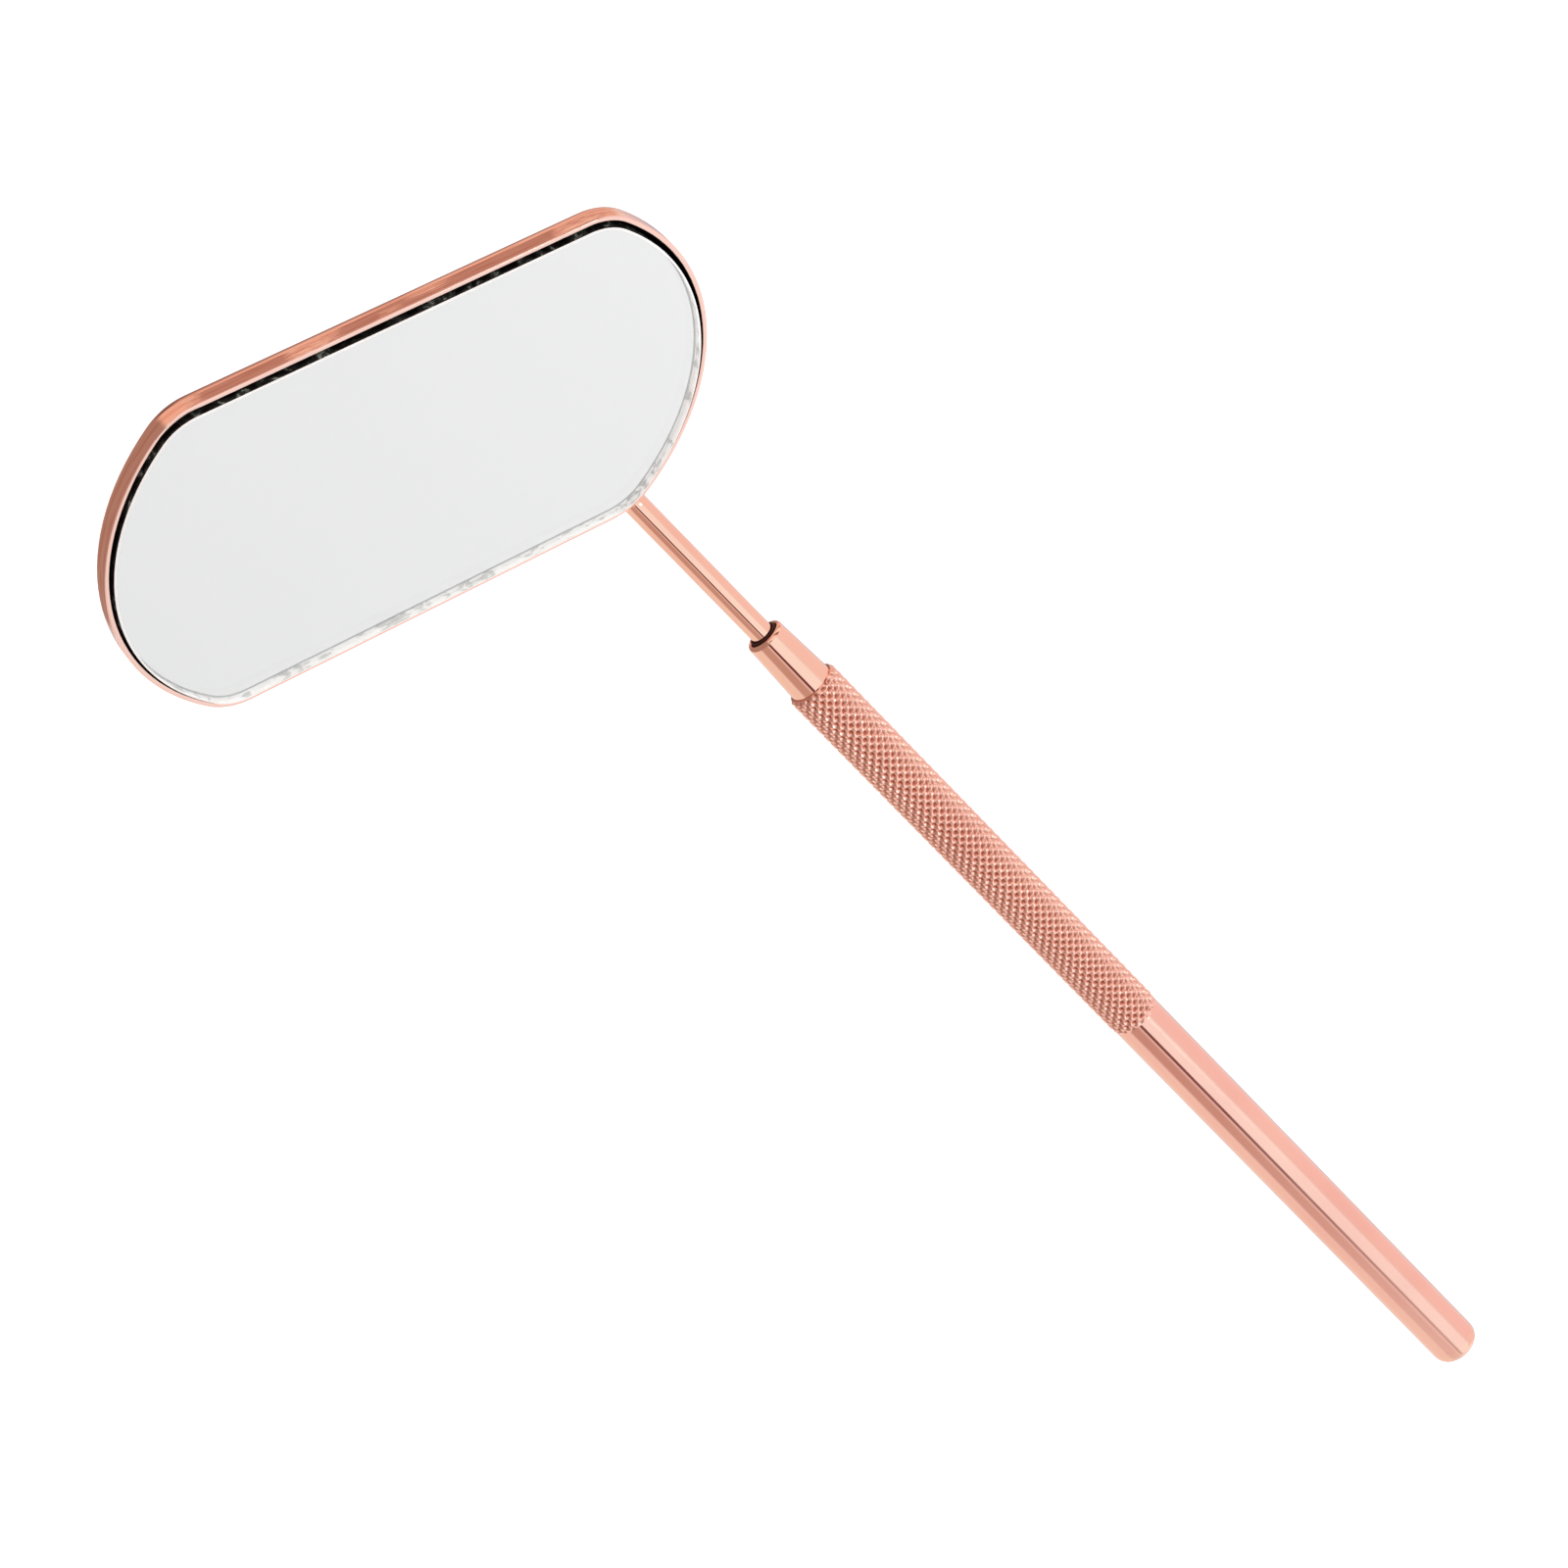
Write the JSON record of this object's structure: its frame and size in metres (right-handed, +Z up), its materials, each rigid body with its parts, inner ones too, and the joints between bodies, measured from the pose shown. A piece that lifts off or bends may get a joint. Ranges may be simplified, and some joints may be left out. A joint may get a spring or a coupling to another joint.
{
  "type": "mouth mirror",
  "caption": "Hand-held mouth mirror: oblong bevelled glass in a steel tray, on a bent stem that screws into a slim knurled handle.",
  "frame": {"origin": "centre of the flat tail end of the handle, on its axis", "axes": "+X along the handle, from the tail towards the mirror head; +Z up, on the side that the mirror faces; +Y completes the right-handed set"},
  "size_m": [0.1983, 0.0644, 0.0376],
  "materials": {
    "plated_steel": "polished rose-gold plating over stainless steel",
    "plated_nose": "polished rose-gold plating over stainless steel",
    "plated_stem": "polished rose-gold plating over stainless steel",
    "plated_tray": "polished rose-gold plating over pressed steel sheet",
    "braze_metal": "smooth, plated over",
    "seal_rubber": "matt black",
    "adhesive": "dark closed-cell foam tape",
    "backing_paint": "dark protective paint",
    "silver_film": "bright silver film",
    "clear_glass": "polished, bevelled edge"
  },
  "bodies": {
    "handle": {"handle_tube": "plated_steel", "socket_nose": "plated_nose", "tail_plug": "plated_steel"},
    "seal": {"seal_ring": "seal_rubber"},
    "head": {"stem": "plated_stem", "stem_braze": "braze_metal", "head_tray": "plated_tray", "adhesive_pad": "adhesive", "mirror_back_paint": "backing_paint", "mirror_silvering": "silver_film", "mirror_glass": "clear_glass"}
  },
  "joints": [
    {"name": "screw_travel", "type": "slide", "parent": "handle", "child": "seal", "axis": [1, 0, 0], "range_m": [0, 0.00439]},
    {"name": "screw_turn", "type": "hinge", "parent": "seal", "child": "head", "pos_m": [0.128, 0, 0], "axis": [1, 0, 0], "range_deg": [0, 3510]}
  ],
  "couplings": [
    {"joint": "screw_travel", "follows": "screw_turn", "m_per_rad": 0.00007162}
  ]
}
